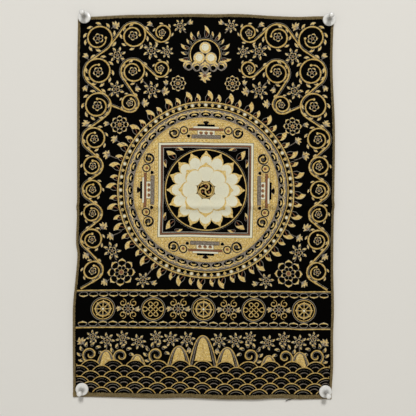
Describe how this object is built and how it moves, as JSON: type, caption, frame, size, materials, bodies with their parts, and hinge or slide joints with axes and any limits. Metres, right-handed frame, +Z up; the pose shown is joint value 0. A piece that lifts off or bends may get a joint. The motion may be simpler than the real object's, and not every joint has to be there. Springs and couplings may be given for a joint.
{
  "type": "thangka wall hanging with push pins",
  "caption": "Flat woven panel of gold ornament on a black ground, overcast at its edges, hung on a wall by a push pin at each corner.",
  "frame": {"origin": "on the wall's face, which is the plane y = 0, at the middle of the cloth's top edge", "axes": "+Z up along the cloth's height, -Y out of the wall towards the viewer, +X to the viewer's right"},
  "size_m": [0.3075, 0.0268, 0.4554],
  "materials": {
    "woven_cloth": "jacquard of black satin with gold, taupe and cream threads",
    "white_plastic": "smooth moulded white plastic",
    "needle_steel": "drawn steel wire"
  },
  "bodies": {
    "root": {"panel": "woven_cloth", "grip_top_left": "white_plastic", "grip_top_right": "white_plastic", "grip_bottom_left": "white_plastic", "grip_bottom_right": "white_plastic", "needle_top_left": "needle_steel", "needle_top_right": "needle_steel", "needle_bottom_left": "needle_steel", "needle_bottom_right": "needle_steel"}
  },
  "joints": []
}
